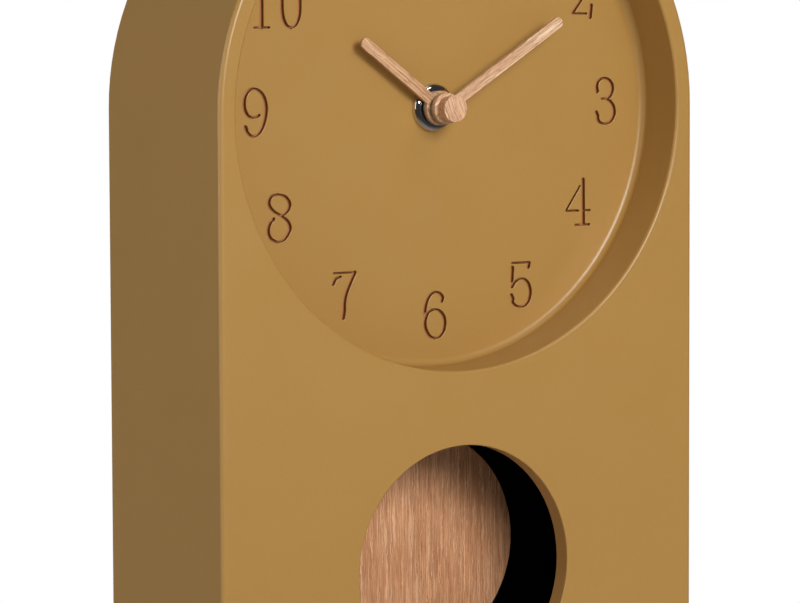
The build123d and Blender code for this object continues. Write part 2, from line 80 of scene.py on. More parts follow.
# %% [markdown]
# The camera stands to the left of the clock and a little above it. A picture of a box holds enough straight
# edges to work out where the camera was: the edges gave the three angles and the distance below. The view is
# then placed by one anchor, because the dial's axis on the front plane falls on a known spot of the image.
# With the camera fixed first, every later piece is judged at the place where the picture shows it.

# %% Camera
IMAGE_WIDTH, IMAGE_HEIGHT = 800, 603
turn, dip, lean = np.radians([32.341, 4.846, -0.216])
focal_pixels = 4252.96
distance = 1.3580
dial_axis = np.array([0.0, solid_box[0].y, DIAL_HEIGHT * MM])
axis_pixel = np.array([463.88, 109.30])

ahead = np.array([np.sin(turn) * np.cos(dip), np.cos(turn) * np.cos(dip), -np.sin(dip)])
level = np.array([np.cos(turn), -np.sin(turn), 0.0])
above = np.cross(level, ahead)
to_right = np.cos(lean) * level + np.sin(lean) * above
to_top = np.cos(lean) * above - np.sin(lean) * level
off = (axis_pixel - np.array([IMAGE_WIDTH, IMAGE_HEIGHT]) / 2) / focal_pixels
viewpoint = dial_axis - distance * (ahead + off[0] * to_right - off[1] * to_top)

lens = bpy.data.cameras.new("camera")
lens.sensor_fit = "HORIZONTAL"
lens.sensor_width = 36.0
lens.lens = focal_pixels / IMAGE_WIDTH * lens.sensor_width
lens.clip_start, lens.clip_end = 0.05, 20.0
camera = bpy.data.objects.new("camera", lens)
bpy.context.scene.collection.objects.link(camera)
stand = np.eye(4)
stand[:3] = np.column_stack([to_right, to_top, -ahead, viewpoint])
camera.matrix_world = Matrix(stand.tolist())
bpy.context.scene.camera = camera
print("camera at", np.round(viewpoint, 4), "lens", round(lens.lens, 2), "mm")

# %% [markdown]
# The numerals are cut into the dial as narrow grooves with steep walls. They could be painted on, but a
# painted line has no lit floor, no dark wall and no bright lip. Each stroke is drawn here as a few points in
# millimetres about the middle of its numeral, x to the right and z up. A smooth line through the points is
# the cutter's path. There are three kinds: a stem is thick, a fine stroke is thin, and a swelling stroke is
# thick where it runs up or down and thin where it runs across, as a pen with a broad nib draws.

# %% Strokes of the numerals
straight_one = [("stem", [(0.0, 7.9), (0.0, -6.9)]), ("fine", [(-2.7, -7.1), (2.8, -7.1)]),
                ("fine", [(-2.5, 6.1), (-1.3, 6.9), (-0.1, 7.9)])]
two = [("swell", [(-3.0, 6.9), (-3.1, 8.2), (-2.5, 9.8), (-1.0, 11.0), (0.8, 11.2), (2.6, 10.4), (3.8, 8.7),
                  (3.8, 6.6), (2.9, 4.3), (1.4, 2.1), (-0.2, 0.0), (-1.8, -2.0), (-3.3, -3.9)]),
       ("fine", [(-3.3, -4.1), (2.3, -4.2)]), ("swell", [(4.2, -1.6), (3.7, -5.4)])]
naught_side = [(0.0, 7.5), (1.8, 6.6), (3.0, 3.9), (3.3, 0.2), (3.0, -3.6), (1.8, -6.3), (0.0, -7.3)]
naught = [("swell", [(-x, z) for x, z in naught_side]), ("swell", naught_side)]
three = [("swell", [(-2.4, 3.8), (-2.7, 5.3), (-2.2, 6.9), (-0.9, 7.9), (0.5, 8.1), (2.1, 7.6), (3.3, 6.3),
                    (3.7, 4.6), (3.2, 2.8), (2.1, 1.6), (0.8, 1.3), (-0.7, 1.3)]),
         ("swell", [(1.3, 1.1), (2.7, 0.4), (3.9, -1.0), (4.4, -2.8), (4.1, -4.6), (2.8, -6.3), (0.7, -7.0),
                    (-1.2, -6.6), (-2.2, -5.5), (-2.3, -4.3), (-2.8, -3.2)])]
four = [("stem", [(0.9, 8.4), (1.0, -6.1)]), ("fine", [(-2.3, -6.45), (3.4, -6.45)]),
        ("fine", [(-0.4, 6.4), (-5.85, -1.4)]), ("fine", [(-5.85, -1.65), (-1.0, -1.75)]),
        ("fine", [(1.0, -1.75), (3.6, -1.75)])]
five = [("fine", [(-2.8, 6.7), (4.0, 6.7)]), ("swell", [(3.95, 6.35), (3.7, 5.2)]),
        ("swell", [(-2.6, 5.1), (-2.9, 0.9)]),
        ("swell", [(-2.8, -1.0), (-1.7, 0.4), (0.0, 1.3), (2.0, 1.2), (3.6, -0.3), (4.35, -2.8), (3.9, -5.5),
                   (2.6, -7.2), (0.7, -7.8), (-1.4, -7.3), (-2.6, -6.2), (-2.5, -5.0), (-3.0, -3.9)])]
six = [("swell", [(3.5, 4.7), (3.7, 5.8), (2.8, 7.0), (1.0, 7.6), (-0.8, 6.9), (-2.1, 5.2), (-2.9, 2.9),
                  (-3.15, 0.9)]),
       ("swell", [(-2.6, -0.2), (-1.7, 1.1), (0.5, 2.0), (2.6, 1.4), (4.1, -0.3), (4.6, -2.6), (4.0, -5.2),
                  (2.5, -6.9), (0.7, -7.4)]),
       ("swell", [(0.7, -7.4), (-1.2, -6.6), (-2.7, -4.4), (-3.1, -2.2), (-2.6, -0.2)])]
seven = [("fine", [(-3.8, 6.4), (4.2, 6.4)]), ("swell", [(-4.1, 3.0), (-3.5, 4.1), (-2.6, 4.8), (-1.2, 5.2)]),
         ("swell", [(4.1, 6.3), (2.9, 4.1), (1.5, 1.3), (0.5, -1.2), (0.05, -3.6), (0.0, -5.8),
                    (-0.4, -8.1)])]
eight = [("swell", [(-1.2, -0.1), (-2.7, -1.5), (-3.4, -3.9), (-2.6, -6.0), (-0.8, -7.2), (0.7, -7.4),
                    (2.8, -6.5), (4.5, -4.0), (4.4, -2.0), (3.2, -0.4), (1.2, 0.9), (-1.2, 2.3),
                    (-2.8, 4.0), (-3.0, 5.7), (-2.0, 7.1), (0.2, 7.65)]),
         ("swell", [(0.2, 7.65), (2.7, 7.0), (4.3, 5.3), (4.5, 3.6), (3.5, 2.0), (1.7, 0.8)])]
nine = [("swell", [(-2.3, -4.6), (-1.8, -6.0), (-0.7, -7.1), (0.5, -7.5), (2.3, -6.8), (3.9, -4.6),
                   (4.9, -1.6), (5.2, 1.5), (4.6, 4.4), (3.1, 6.5), (1.0, 7.5), (-1.0, 6.9), (-2.4, 5.1),
                   (-2.8, 3.0), (-2.5, 0.8), (-1.4, -0.9), (0.2, -1.6), (1.7, -1.4), (2.8, -0.9)])]
single = [straight_one, two, three, four, five, six, seven, eight, nine]
spelled = {numeral: [(sign, 0, 0)] for numeral, sign in enumerate(single, start=1)}
spelled[10] = [(straight_one, -5.2, 0), (naught, 5.5, 0)]
spelled[11] = [(straight_one, -3.1, 0), (straight_one, 3.1, 0)]
spelled[12] = [(straight_one, -5.2, 0), (two, 3.4, -3.0)]
stroke_count = sum(len(sign) for signs in spelled.values() for sign, _, _ in signs)
print("numerals:", len(spelled), "strokes:", stroke_count)

# %% [markdown]
# A cutter for one stroke is a surface over two parameters. The first runs once round the stroke: out along
# one side, round the end, back along the other side and round the start. The second runs down the groove:
# from a lid above the dial, over a rounded shoulder, down the wall and in to the middle of the floor. So a
# point is the path's point plus the side direction times the half width at that depth. Taking the half width
# to nothing at the lid and at the floor closes the surface, because there the two sides meet on the path.

# %% Cutter of one stroke
STEM, FINE, SWELL_POWER = 1.35, 0.60, 1.4
SHOULDER, SHOULDER_TURN, SHOULDER_STEPS = 0.22, 84, 5
GROOVE_DEPTH, LOW_WALL, BED_EDGE, BED_ROUND = 1.50, 0.94, 0.80, 0.12
LID, SUNK = 0.60, 0.012
SAME_SPOT, SLIVER = 1e-7, 1e-8


def smooth_path(points, samples=10):
    """Line through the points: each span is the cubic that leaves along the chord between its neighbours."""
    p = np.asarray(points, float)
    if len(p) == 2:
        share = np.linspace(0.0, 1.0, samples)[:, None]
        return p[0] * (1 - share) + p[1] * share
    p = np.vstack([2 * p[0] - p[1], p, 2 * p[-1] - p[-2]])
    a, b, c, d = p[:-3, None], p[1:-2, None], p[2:-1, None], p[3:, None]
    t = np.linspace(0.0, 1.0, samples, endpoint=False)[None, :, None]
    line = 0.5 * (2 * b + (c - a) * t + (2 * a - 5 * b + 4 * c - d) * t**2 + (3 * b - a - 3 * c + d) * t**3)
    return np.vstack([line.reshape(-1, 2), p[-2]])


def once_round(path, kind, end_steps=9):
    """Path points, side directions and half widths met on one trip round a stroke, half a turn at each end.

    A swelling stroke grows from fine to stem with the slope of its path: across is fine, upright is stem.
    """
    along = np.gradient(path, axis=0)
    along /= np.linalg.norm(along, axis=1, keepdims=True)
    side = np.column_stack([-along[:, 1], along[:, 0]])
    upright = np.abs(along[:, 1]) ** SWELL_POWER
    slope = {"stem": np.ones(len(path)), "fine": np.zeros(len(path)), "swell": upright}[kind]
    half = (FINE + (STEM - FINE) * slope) / 2
    half_turn = np.linspace(0.0, np.pi, end_steps)[1:-1, None]
    far_end = np.cos(half_turn) * side[-1] + np.sin(half_turn) * along[-1]
    near_end = -np.cos(half_turn) * side[0] - np.sin(half_turn) * along[0]
    ends = len(half_turn)
    centres = np.vstack([path, np.repeat(path[-1:], ends, 0), path[::-1], np.repeat(path[:1], ends, 0)])
    halves = np.concatenate([half, np.repeat(half[-1:], ends), half[::-1], np.repeat(half[:1], ends)])
    return centres, np.vstack([side, far_end, -side[::-1], near_end]), halves


def down_the_groove():
    """From the lid to the floor: share of the half width, what the shoulder adds to it, and the depth."""
    bend = np.radians(np.linspace(0, SHOULDER_TURN, SHOULDER_STEPS + 1))[1:]
    share = np.concatenate([[0.0, 1.0, 1.0], np.ones(SHOULDER_STEPS), [LOW_WALL, BED_EDGE, 0.0]])
    extra = np.concatenate([[0.0, SHOULDER, SHOULDER], SHOULDER * (1 - np.sin(bend)), [0.0, 0.0, 0.0]])
    depth = np.concatenate([[-LID, -LID, 0.0], SHOULDER * (1 - np.cos(bend)),
                            [GROOVE_DEPTH - BED_ROUND, GROOVE_DEPTH, GROOVE_DEPTH]])
    return share, extra, depth + SUNK


def mesh_from_grid(name, grid):
    """Quads between the rows of a grid of points (rows, columns, 3); the columns close on themselves."""
    rows, columns = grid.shape[:2]
    index = np.arange(rows * columns).reshape(rows, columns)
    after = np.roll(index, -1, axis=1)
    quads = np.stack([index[:-1], after[:-1], after[1:], index[1:]], -1).reshape(-1, 4)
    mesh = bpy.data.meshes.new(name)
    mesh.from_pydata(grid.reshape(-1, 3).tolist(), [], quads.tolist())
    sewn = bmesh.new()
    sewn.from_mesh(mesh)
    bmesh.ops.remove_doubles(sewn, verts=sewn.verts, dist=SAME_SPOT)
    bmesh.ops.dissolve_degenerate(sewn, edges=sewn.edges, dist=SLIVER)
    bmesh.ops.recalc_face_normals(sewn, faces=sewn.faces)
    sewn.to_mesh(mesh)
    sewn.free()
    return mesh


def stroke_cutter(name, kind, points, centre, dial_y):
    """Surface of a groove: path point plus side direction times half width, at each depth in the dial."""
    centres, sides, halves = once_round(smooth_path(points), kind)
    share, extra, depth = down_the_groove()
    reach = share[:, None] * halves[None] + extra[:, None]
    flat = centres[None] + sides[None] * reach[..., None] + centre
    deep = np.broadcast_to(depth[:, None], reach.shape)
    grid = np.stack([flat[..., 0] * MM, dial_y + deep * MM, dial_axis[2] + flat[..., 1] * MM], -1)
    return bpy.data.objects.new(name, mesh_from_grid(name, grid))


DIAL_DEPTH = 18.6 * MM
NUMERAL_RADIUS, HOUR_DEGREES = 67.5, 30.0
cutters = bpy.data.collections.new("cutters")
bpy.context.scene.collection.children.link(cutters)
for numeral, signs in spelled.items():
    hour = np.radians(HOUR_DEGREES * numeral)
    middle = NUMERAL_RADIUS * np.array([np.sin(hour), np.cos(hour)])
    for place, (sign, right, up) in enumerate(signs):
        for count, (kind, points) in enumerate(sign):
            cutter = stroke_cutter(f"cut_{numeral}_{place}_{count}", kind, points,
                                   middle + np.array([right, up]), dial_axis[1] + DIAL_DEPTH)
            cutters.objects.link(cutter)

# %% [markdown]
# The case is one moulding: outside, sunk dial, window collar, screw posts and ribs. Its solid already has the
# right shape, so a copy is taken, its loose triangles are joined, and the cutters are taken away from it. The
# copy then stands for the solid. Cutting leaves long thin triangles, which would catch the light unevenly, so
# outside the grooves each corner takes its normal from the solid. The inside gets painted shade: faces behind
# the front wall and within the shell get a second, dark finish. The dial's recess and the window's bore keep
# the outer one.

# %% Engraved case
WELD = 1e-6
CASE_CREASE = np.radians(32)
SAME_PLACE, FACES_FRONT, ALIKE, NO_MATCH = 0.01 * MM, -0.999, 0.5, -2.0


def joined_copy(node, name):
    """Copy of a solid's mesh with its loose triangles joined at their corners."""
    mesh = nodes[node].data.copy()
    mesh.name = name
    sewn = bmesh.new()
    sewn.from_mesh(mesh)
    bmesh.ops.remove_doubles(sewn, verts=sewn.verts, dist=WELD)
    sewn.to_mesh(mesh)
    sewn.free()
    return mesh


blank = bpy.data.objects.new("blank_case", joined_copy("housing", "blank_case"))
bpy.context.scene.collection.objects.link(blank)
cut = blank.modifiers.new("numerals", "BOOLEAN")
cut.operation, cut.solver = "DIFFERENCE", "EXACT"
cut.operand_type, cut.collection = "COLLECTION", cutters
bpy.context.view_layer.update()
engraved = bpy.data.meshes.new_from_object(blank.evaluated_get(bpy.context.evaluated_depsgraph_get()))
engraved.name = "case"
for used in [blank, *cutters.objects]:
    bpy.data.objects.remove(used)
bpy.data.collections.remove(cutters)

engraved.polygons.foreach_set("use_smooth", np.ones(len(engraved.polygons), bool))
engraved.set_sharp_from_angle(angle=CASE_CREASE)


def corner_table(mesh):
    """Place, face normal and shading normal of every corner of every face of a mesh."""
    spots, owner = np.zeros(len(mesh.vertices) * 3), np.zeros(len(mesh.loops), np.int32)
    shading, facing = np.zeros(len(mesh.loops) * 3), np.zeros(len(mesh.polygons) * 3)
    sizes = np.zeros(len(mesh.polygons), np.int32)
    mesh.vertices.foreach_get("co", spots)
    mesh.loops.foreach_get("vertex_index", owner)
    mesh.corner_normals.foreach_get("vector", shading)
    mesh.polygons.foreach_get("normal", facing)
    mesh.polygons.foreach_get("loop_total", sizes)
    face_normals = np.repeat(facing.reshape(-1, 3), sizes, axis=0)
    return spots.reshape(-1, 3)[owner], face_normals, shading.reshape(-1, 3)


def borrowed_normals(mesh, solid):
    """Normal for each corner: the solid's, from its corner at the same place, on the face that lies alike.

    Corners that the solid doesn't have keep their own normal, and on the flat dial take the dial's.
    """
    spot, facing, own = corner_table(mesh)
    known_spot, known_facing, known = corner_table(solid)
    places = np.round(np.vstack([known_spot, spot]) / SAME_PLACE).astype(np.int64)
    key = np.unique(places, axis=0, return_inverse=True)[1].ravel()
    known_key, key = key[:len(known_spot)], key[len(known_spot):]
    order = np.argsort(known_key, kind="stable")
    first, last = (np.searchsorted(known_key[order], key, side) for side in ("left", "right"))
    normal = np.where((facing[:, 1] < FACES_FRONT)[:, None], facing, own)
    best = np.full(len(key), ALIKE)
    for step in range((last - first).max()):
        pick = order[np.minimum(first + step, len(order) - 1)]
        alike = np.where(first + step < last, (facing * known_facing[pick]).sum(1), NO_MATCH)
        better = alike > best
        best = np.where(better, alike, best)
        normal[better] = known[pick[better]]
    print("corners with the solid's normal:", int((best > ALIKE).sum()), "of", len(best))
    return normal


engraved.normals_split_custom_set(borrowed_normals(engraved, nodes["housing"].data).tolist())
case = bpy.data.objects.new("case", engraved)
bpy.context.scene.collection.objects.link(case)
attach(case, "case")
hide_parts("housing")

# %% Faces of the inside, which get painted shade
CASE_HALF, WALL, BASE, SLACK = 90.0, 2.5, 1.5, 0.1
RECESS_REACH, RECESS_BACK = 84.2, 20.5
WINDOW_REACH, WINDOW_BACK = 40.2, 6.2
middles = np.zeros(len(engraved.polygons) * 3)
engraved.polygons.foreach_get("center", middles)
x, y, z = (middles.reshape(-1, 3) / MM).T
depth = y - dial_axis[1] / MM
from_dial = np.hypot(x, z - DIAL_HEIGHT)
from_window = np.hypot(x, z - WINDOW_HEIGHT)
inner_half = CASE_HALF - WALL + SLACK
in_box = (np.abs(x) < inner_half) & (z > BASE + WALL - SLACK)
in_shell = np.where(z > DIAL_HEIGHT, from_dial < inner_half, in_box)
in_front_wall = depth < WALL - SLACK / 2
in_recess = (from_dial < RECESS_REACH) & (depth < RECESS_BACK)
in_window = (from_window < WINDOW_REACH) & (depth < WINDOW_BACK)
inside = in_shell & ~(in_front_wall | in_recess | in_window)
print("case faces:", len(x), "of them inside:", int(inside.sum()))

# %% [markdown]
# The lip and the foot of the dial's recess carry the brightest lines of the case. The solid's mesh follows
# the circle in steps of about five degrees, and a thin line of light breaks up on such steps. So the recess
# gets a smooth skin: one profile, carried round the dial's axis in one degree steps. It follows the round lip
# and the wall, a tenth of a millimetre proud of the mesh, and its foot is a little rounder than the solid's,
# up to four tenths proud, so that no step shows through. It returns through the thickness of the wall, which
# closes the skin.

# %% Skin of the recess
MOUTH, DRAFT, LIP, FOOT = 84.0, np.tan(np.radians(1.0)), 1.0, 2.2
PROUD, OVER_FRONT, OVER_DIAL = 0.09, 0.003, 0.004
REAR, REAR_FOOT, REAR_LIP = 0.4, 84.8, 85.5
TURNED_CREASE = np.radians(30)


def arc(centre_out, centre_deep, radius, start, end, steps=14):
    """Distance from the axis and depth along an arc: centre plus radius times cosine and sine of the turn."""
    turn = np.radians(np.linspace(start, end, steps))
    return np.column_stack([centre_out + radius * np.cos(turn), centre_deep + radius * np.sin(turn)])


floor_deep = DIAL_DEPTH / MM
lip = arc(MOUTH - LIP * DRAFT + LIP - PROUD, LIP - OVER_FRONT, LIP, -90, -179)
foot = arc(MOUTH - (floor_deep - FOOT) * DRAFT - FOOT - PROUD, floor_deep - FOOT - OVER_DIAL, FOOT, 1, 90)
down = np.array([0.03, 0.5, 0.97])[:, None]
wall = lip[-1] * (1 - down) + foot[0] * down
rear = np.array([[foot[-1, 0] - REAR, floor_deep + REAR], [REAR_FOOT, floor_deep + REAR],
                 [REAR_LIP, 2 * LIP], [REAR_LIP, REAR]])
round_dial = np.radians(np.arange(360.0))


def turned_piece(name, outline):
    """Outline carried round the dial's axis: x and z are distance times sine and cosine, y is the depth."""
    outline = np.vstack([outline, outline[:1]]) * MM
    grid = np.stack([np.outer(outline[:, 0], np.sin(round_dial)),
                     np.repeat(dial_axis[1] + outline[:, 1:], len(round_dial), axis=1),
                     dial_axis[2] + np.outer(outline[:, 0], np.cos(round_dial))], -1)
    mesh = mesh_from_grid(name, grid)
    mesh.polygons.foreach_set("use_smooth", np.ones(len(mesh.polygons), bool))
    mesh.set_sharp_from_angle(angle=TURNED_CREASE)
    made = bpy.data.objects.new(name, mesh)
    bpy.context.scene.collection.objects.link(made)
    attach(made, "case")
    print(name, len(mesh.polygons), "faces")
    return made


recess_skin = turned_piece("recess_skin", np.vstack([lip, wall, foot, rear]))

# %% [markdown]
# The nut that holds the movement to the dial is polished, so its form is read from what it mirrors: a white
# patch at nine o'clock and a pale streak near eleven, with dark between. A flat face would mirror one thing
# only. A face that falls away to the rim like a quarter of an ellipse turns its normals through every angle
# and gathers the lamps into such patches, so the nut gets that profile, inside the solid's outline.

# %% Domed nut
NUT_BORE, NUT_FLAT, NUT_RADIUS, NUT_FRONT, NUT_FALL = 4.05, 5.2, 7.75, 16.2, 1.6
fall = np.radians(np.linspace(0, 90, 16))
nut_face = np.column_stack([NUT_FLAT + (NUT_RADIUS - NUT_FLAT) * np.sin(fall),
                            NUT_FRONT + NUT_FALL * (1 - np.cos(fall))])
nut_back = np.array([[NUT_RADIUS, floor_deep], [NUT_BORE, floor_deep], [NUT_BORE, NUT_FRONT]])
nut = turned_piece("nut", np.vstack([nut_face, nut_back]))
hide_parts("dress_nut")

# %% [markdown]
# A finish is a small graph of nodes that ends in one shader. Every finish here reads Object coordinates,
# which on these pieces are metres in the clock's own frame, so a scale of 1000 repeats about once each
# millimetre. The helpers below add one node each, so that a finish reads as a short recipe.

# %% Helpers for finishes


def srgb(red, green, blue):
    """A colour read from a screen (0 to 255), as the light values that the shader works with."""
    share = np.array([red, green, blue]) / 255.0
    light = np.where(share <= 0.04045, share / 12.92, ((share + 0.055) / 1.055) ** 2.4)
    return (*light.tolist(), 1.0)


class Graph:
    """A node tree and short ways to add nodes to it."""

    def __init__(self, tree):
        self.tree = tree

    def add(self, kind, inputs=(), **settings):
        """A node with its settings; each input is a number, a colour or another node's socket."""
        made = self.tree.nodes.new("ShaderNode" + kind)
        for key, value in settings.items():
            setattr(made, key, value)
        for key, value in dict(inputs).items():
            if isinstance(value, bpy.types.NodeSocket):
                self.tree.links.new(value, made.inputs[key])
            else:
                made.inputs[key].default_value = value
        return made

    def maths(self, operation, first, second=0.0, clamp=False):
        """A sum, product, comparison or wave of numbers."""
        return self.add("Math", {0: first, 1: second}, operation=operation, use_clamp=clamp).outputs[0]

    def vector(self, operation, first, second):
        """A sum, difference or product of two vectors."""
        return self.add("VectorMath", {0: first, 1: second}, operation=operation).outputs[0]

    def length(self, first):
        """How long a vector is."""
        return self.add("VectorMath", {0: first}, operation="LENGTH").outputs["Value"]

    def span(self, value, low, high, to_low=0.0, to_high=1.0):
        """A value between two limits becomes a level between two others, and stays inside them."""
        return self.add("MapRange", {"Value": value, "From Min": low, "From Max": high, "To Min": to_low,
                                     "To Max": to_high}).outputs["Result"]


class Recipe(Graph):
    """A new finish: its material and its shader, with short ways to place, mix and raise patterns."""

    def __init__(self, name, **constants):
        self.material = bpy.data.materials.new(name)
        self.material.use_nodes = True
        super().__init__(self.material.node_tree)
        self.shader = self.tree.nodes["Principled BSDF"]
        for socket, value in constants.items():
            self.shader.inputs[socket.replace("_", " ")].default_value = value

    def place(self, stretch=(1, 1, 1), turned=(0, 0, 0), centre=(0, 0, 0)):
        """The piece's own coordinates, moved to a centre, turned by degrees and then stretched."""
        moved = self.vector("SUBTRACT", self.add("TexCoord").outputs["Object"], tuple(centre))
        spun = self.add("Mapping", {"Vector": moved, "Rotation": tuple(np.radians(turned))}).outputs[0]
        return self.vector("MULTIPLY", spun, tuple(stretch))

    def noise(self, where, scale, detail=2.0, rough=0.5, bend=0.0):
        """A noise that repeats about scale times in a metre."""
        return self.add("TexNoise", {"Vector": where, "Scale": scale, "Detail": detail, "Roughness": rough,
                                     "Distortion": bend}).outputs["Fac"]

    def blend(self, share, first, second):
        """A mix of two colours; of this node's many sockets, these are the ones for colours."""
        return self.add("Mix", {0: share, 6: first, 7: second}, data_type="RGBA").outputs[2]

    def give(self, socket, value):
        """Links a value to a socket of the shader."""
        self.tree.links.new(value, self.shader.inputs[socket])

    def relief(self, height, strength, distance):
        """Bumps whose height follows a value."""
        made = self.add("Bump", {"Height": height, "Strength": strength, "Distance": distance})
        self.give("Normal", made.outputs["Normal"])


def dress(finish, *names):
    """Gives a finish to solids by name."""
    for name in names:
        nodes[name].data.materials.clear()
        nodes[name].data.materials.append(finish.material)
    print(finish.material.name, "on", ", ".join(names))


# %% [markdown]
# The case has a soft, matt, ochre lacquer. A flat colour looks like a drawing, because sprayed lacquer is
# never quite even. Four noises, slow and fast, give it a faint cloud and a fine grit in the colour, a
# slightly uneven gloss and an orange-peel skin. In the numerals, shade and bounced light are painted into the
# colour: the walls of the grooves get a painted deep-brown shade and the floors a painted reddish bounce
# light, both found by their depth below the dial. The inside of the moulding gets a painted dark shade, so
# that the window looks into shadow.

# %% Lacquer of the case, its painted groove shade and the painted shade inside
NUMERAL_REACH = 80.0
WALL_FROM, WALL_TO = 0.10, 0.40
BED_FROM, BED_TO = GROOVE_DEPTH - 0.3, GROOVE_DEPTH - 0.1
OCHRE, PALE_OCHRE, OCHRE_GRIT = srgb(173, 131, 68), srgb(178, 136, 72), srgb(142, 102, 46)
# Painted shade for the walls of the grooves and painted reddish bounce light for their floors.
GROOVE_WALL_PAINTED_SHADE, GROOVE_BED_PAINTED_BOUNCE = srgb(106, 60, 14), srgb(174, 112, 70)


def from_axis(finish, centre):
    """Distance from an axis that runs into the case through the centre."""
    flat = finish.vector("MULTIPLY", finish.place(centre=centre), (1, 0, 1))
    return finish.length(flat)


lacquer = Recipe("ochre_lacquer", Specular_IOR_Level=0.5)
surface = lacquer.place()
cloud = lacquer.noise(surface, 16.0, 3.0)
grit = lacquer.noise(surface, 2400.0, 2.0, 0.6)
tint = lacquer.blend(cloud, OCHRE, PALE_OCHRE)
coat = lacquer.blend(lacquer.span(grit, 0.35, 0.75, 0.0, 0.10), tint, OCHRE_GRIT)
below = lacquer.add("SeparateXYZ", {0: lacquer.place(centre=(0, dial_axis[1] + DIAL_DEPTH, 0))}).outputs["Y"]
on_dial = lacquer.maths("LESS_THAN", from_axis(lacquer, (0, 0, dial_axis[2])), NUMERAL_REACH * MM)
# Masks by depth below the dial: painted shade on the groove walls, painted bounce light on the groove floors.
painted_wall_shade = lacquer.maths("MULTIPLY", on_dial, lacquer.span(below, WALL_FROM * MM, WALL_TO * MM))
painted_bed_bounce = lacquer.maths("MULTIPLY", on_dial, lacquer.span(below, BED_FROM * MM, BED_TO * MM))
lacquer.give("Base Color", lacquer.blend(painted_bed_bounce, lacquer.blend(painted_wall_shade, coat, GROOVE_WALL_PAINTED_SHADE), GROOVE_BED_PAINTED_BOUNCE))
lacquer.give("Roughness", lacquer.span(lacquer.noise(surface, 60.0, 3.0), 0.3, 0.7, 0.29, 0.35))
lacquer.relief(lacquer.noise(surface, 1500.0, 2.0, 0.55), 0.10, 0.02 * MM)

# A dark reddish-brown for the inside faces: painted shade where the window looks into the case.
dark = Recipe("painted_shade_inside", Specular_IOR_Level=0.2)
hollow = dark.place()
dark.give("Base Color", dark.blend(dark.noise(hollow, 220.0), srgb(64, 22, 12), srgb(76, 28, 16)))
dark.give("Roughness", dark.span(dark.noise(hollow, 900.0), 0.3, 0.7, 0.75, 0.9))

case.data.materials.clear()
case.data.materials.append(lacquer.material)
case.data.materials.append(dark.material)
recess_skin.data.materials.append(lacquer.material)
# The inside faces take the second finish, the painted shade.
case.data.polygons.foreach_set("material_index", inside.astype(np.int32))
case.data.update()
print("lacquer on", int((~inside).sum()), "faces, dark inside on", int(inside.sum()))

# %% [markdown]
# The hands, their cap and the pendulum's disc are oak. Oak shows long pale and brown bands, a fine straight
# fibre, pale flecks, and short dark pores where the vessels are cut open. Each of the four is a noise that is
# stretched along the grain, by its own amount. The grain runs along each hand and straight down the disc, so
# the recipe takes the direction of the grain as a clock angle.

# %% Oak
OAK_TONES = (205, 157, 118), (226, 182, 144), (172, 120, 84), (242, 208, 176), (118, 72, 44)
HOUR_AT, MINUTE_AT, CAP_AT = 306.8, 58.1, 335.0


def oak(name, clock_angle, centre, stain, fine, pores, wave=0.35 * MM, curl=420.0):
    """Oak with its grain at an angle from twelve: bands, fibres, pale flecks and pores, all stretched noise.

    The grain wanders: a slow noise moves each point sideways by up to a wave before the noises are read.
    Pores have a stretch, where more makes them shorter, and a share of their dark colour.
    """
    wood = Recipe(name, Specular_IOR_Level=0.3)
    own = wood.place(turned=(0, -clock_angle, 0), centre=centre)
    drift = wood.noise(wood.vector("MULTIPLY", own, (1, 1, 0.35)), curl, 2.0)
    shove = wood.add("CombineXYZ", {"X": wood.span(drift, 0.25, 0.75, -wave, wave)}).outputs[0]
    bent = wood.vector("ADD", own, shove)

    def along(stretch):
        return wood.vector("MULTIPLY", bent, (1, 1, stretch))

    figure = wood.noise(along(0.05), 120.0, 3.0, 0.5, 0.4)
    fibre = wood.noise(along(0.022), 1300.0 * fine, 4.0, 0.62)
    fleck = wood.noise(along(0.016), 2100.0 * fine, 2.0, 0.5)
    pore = wood.noise(along(pores[0]), 2600.0 * fine, 1.0, 0.5)
    tan, pale, brown, bright, dark_brown = (
        tuple(s * c for s, c in zip(stain, srgb(*tone))) + (1.0,) for tone in OAK_TONES)
    wood_tone = wood.blend(wood.span(figure, 0.36, 0.64), tan, pale)
    wood_tone = wood.blend(wood.span(fibre, 0.62, 0.36, 0.0, 0.75), wood_tone, brown)
    wood_tone = wood.blend(wood.span(fleck, 0.53, 0.64, 0.0, 0.75), wood_tone, bright)
    cut_open = wood.span(pore, 0.56, 0.68)
    wood.give("Base Color", wood.blend(wood.maths("MULTIPLY", cut_open, pores[1]), wood_tone, dark_brown))
    wood.give("Roughness", wood.span(fibre, 0.3, 0.7, 0.62, 0.48))
    wood.relief(wood.maths("SUBTRACT", wood.maths("MULTIPLY", fibre, 0.5), cut_open), 0.30, 0.06 * MM)
    return wood


dress(oak("oak_along_hour_hand", HOUR_AT, (0.003, 0, 0.21), (0.98, 0.96, 0.88), 1.2, (0.08, 0.62)),
      "hour_hand")
dress(oak("oak_along_minute_hand", MINUTE_AT, (0.011, 0, 0.21), (1.07, 1.12, 1.13), 1.2, (0.08, 0.62)),
      "minute_hand")
dress(oak("oak_across_cap", CAP_AT, (0, 0.004, 0.205), (1.08, 1.06, 1.05), 1.6, (0.10, 0.62)), "hand_cap")
dress(oak("oak_down_disc", 0.0, (0.013, 0, 0.07), (1.01, 0.84, 0.71), 1.7, (0.03, 0.46),
          wave=0.3 * MM, curl=900.0), "pendulum_bob")

# %% [markdown]
# Turned metal keeps the fine rings of the lathe tool. The distance from the axis drives a ripple that is much
# finer than a millimetre, and a noise breaks it up. The nut is polished chrome, so its ripple is faint. The
# hands' collets and the strip and clip behind the disc are plain aluminium, drawn or turned. The small parts
# inside are brass, nickel and steel, and the cover's screws are blackened.

# %% Metals
PULSE_HEIGHT = 0.162


def rings(finish, centre, pitch):
    """Ripple with the distance from an axis that runs into the case through the centre."""
    return finish.maths("SINE", finish.maths("MULTIPLY", from_axis(finish, centre), 2 * np.pi / pitch))


